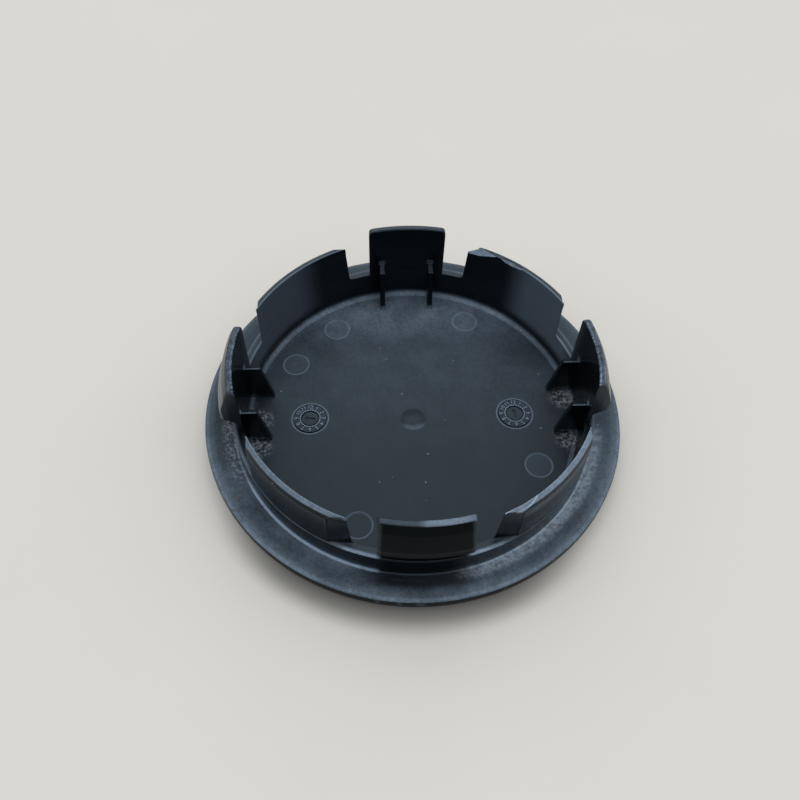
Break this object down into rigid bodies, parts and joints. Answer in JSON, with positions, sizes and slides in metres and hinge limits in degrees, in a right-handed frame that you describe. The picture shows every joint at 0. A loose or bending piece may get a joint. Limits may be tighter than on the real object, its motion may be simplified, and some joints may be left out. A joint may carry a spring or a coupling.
{
  "type": "wheel centre cap",
  "caption": "Black moulded wheel centre cap, lying face down: dished rear flange, low ring wall with raised curved segments, snap-in clips with paired fins, plain disc let into the front.",
  "frame": {"origin": "on the cap's axis, in the plane of the front bezel that it rests on", "axes": "+Z along the cap's axis from the front face to the clips; +Y towards the clip farthest from the camera in the picture, +X towards the right-hand clip"},
  "size_m": [0.065, 0.065, 0.0168],
  "materials": {
    "claw_plastic": "satin black moulded plastic, dusty and lightly scuffed",
    "disc_aluminium": "plain, fine satin"
  },
  "bodies": {
    "root": {"claw_body": "claw_plastic", "front_disc": "disc_aluminium"}
  },
  "joints": []
}
